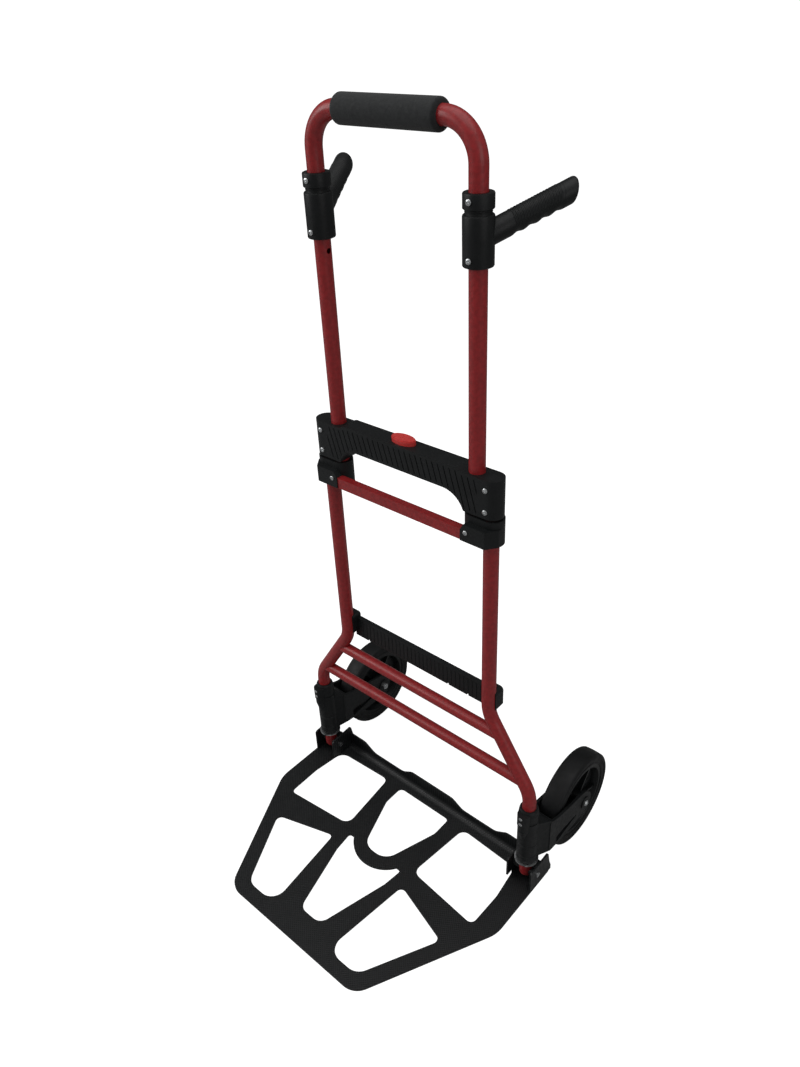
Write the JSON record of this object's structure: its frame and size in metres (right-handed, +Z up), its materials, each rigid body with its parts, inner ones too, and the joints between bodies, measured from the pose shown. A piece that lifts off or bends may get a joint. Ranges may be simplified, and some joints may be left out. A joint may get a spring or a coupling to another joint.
{
  "type": "folding hand truck",
  "caption": "Folding two-wheel hand truck with a telescoping loop handle, rear hand grips, a push-button latch housing, a hinged openwork toe plate and fold-in wheels.",
  "frame": {"origin": "on the floor at the centre of the footprint, midway between the front edge of the toe plate and the back of the tyres", "axes": "+Z up, +X to the right of someone facing the load side, -Y towards the toe plate's front edge, +Y towards the wheels and the user"},
  "size_m": [0.519, 0.543, 1.1614],
  "materials": {
    "red_tube_paint": "gloss",
    "red_button": "gloss",
    "black_plastic": "satin",
    "black_plate": "black textured powder coat",
    "black_foam": "matte",
    "black_grip": "satin",
    "tyre_rubber": "matte",
    "hub_plastic": "satin",
    "zinc_steel": "satin",
    "spring_steel": "satin"
  },
  "bodies": {
    "lower_frame": {"lower_tube_left": "red_tube_paint", "lower_tube_right": "red_tube_paint", "cross_tube_upper": "red_tube_paint", "cross_tube_lower": "red_tube_paint", "housing_front": "black_plastic", "housing_rear": "black_plastic", "housing_screws": "zinc_steel", "rear_brace": "black_plastic", "brace_screws": "zinc_steel", "foot_collar_left": "black_plastic", "foot_collar_right": "black_plastic", "foot_rivets": "zinc_steel", "foot_washers": "zinc_steel", "hinge_bushes": "black_plastic", "button_spring": "spring_steel"},
    "handle": {"handle_tube": "red_tube_paint", "foam_grip": "black_foam", "hand_grip_left": "black_grip", "hand_grip_right": "black_grip", "grip_screws": "zinc_steel", "guide_block_left": "black_plastic", "guide_block_right": "black_plastic", "guide_bar": "red_tube_paint", "guide_screws": "zinc_steel"},
    "release_button": {"release_button": "red_button"},
    "latch_bolt_left": {"latch_bolt_left": "zinc_steel"},
    "latch_bolt_right": {"latch_bolt_right": "zinc_steel"},
    "toe_plate": {"toe_plate": "black_plate", "hinge_pins": "zinc_steel"},
    "wheel_fork_left": {"wheel_fork_left": "black_plastic", "axle_bolt_left": "zinc_steel", "axle_nut_left": "zinc_steel", "axle_sleeve_left": "zinc_steel"},
    "wheel_fork_right": {"wheel_fork_right": "black_plastic", "axle_bolt_right": "zinc_steel", "axle_nut_right": "zinc_steel", "axle_sleeve_right": "zinc_steel"},
    "wheel_left": {"wheel_hub_left": "hub_plastic", "tyre_left": "tyre_rubber"},
    "wheel_right": {"wheel_hub_right": "hub_plastic", "tyre_right": "tyre_rubber"}
  },
  "joints": [
    {"name": "handle_slide", "type": "slide", "parent": "lower_frame", "child": "handle", "axis": [0, 0, 1], "range_m": [-0.25, 0]},
    {"name": "button_press", "type": "slide", "parent": "lower_frame", "child": "release_button", "axis": [0, 0, -1], "range_m": [0, 0.005], "stiffness_N_per_m": 800, "springref_m": -0.006, "deforming": ["button_spring"]},
    {"name": "latch_left", "type": "slide", "parent": "lower_frame", "child": "latch_bolt_left", "axis": [1, 0, 0], "range_m": [0, 0.005]},
    {"name": "latch_right", "type": "slide", "parent": "lower_frame", "child": "latch_bolt_right", "axis": [-1, 0, 0], "range_m": [0, 0.005]},
    {"name": "toe_fold", "type": "hinge", "parent": "lower_frame", "child": "toe_plate", "pos_m": [0, 0.0545, 0.029], "axis": [-1, 0, 0], "range_deg": [0, 90]},
    {"name": "fork_swivel_left", "type": "hinge", "parent": "lower_frame", "child": "wheel_fork_left", "pos_m": [-0.22708, 0.0545, 0.1], "axis": [0, 0, -1], "range_deg": [0, 90]},
    {"name": "fork_swivel_right", "type": "hinge", "parent": "lower_frame", "child": "wheel_fork_right", "pos_m": [0.22708, 0.0545, 0.1], "axis": [0, 0, 1], "range_deg": [0, 90]},
    {"name": "wheel_spin_left", "type": "hinge", "parent": "wheel_fork_left", "child": "wheel_left", "pos_m": [-0.23008, 0.1865, 0.085], "axis": [1, 0, 0], "continuous": true},
    {"name": "wheel_spin_right", "type": "hinge", "parent": "wheel_fork_right", "child": "wheel_right", "pos_m": [0.23008, 0.1865, 0.085], "axis": [1, 0, 0], "continuous": true}
  ],
  "couplings": [
    {"joint": "latch_left", "follows": "button_press", "ratio": 1},
    {"joint": "latch_right", "follows": "button_press", "ratio": 1},
    {"joint": "fork_swivel_left", "follows": "toe_fold", "ratio": 1},
    {"joint": "fork_swivel_right", "follows": "toe_fold", "ratio": 1}
  ]
}
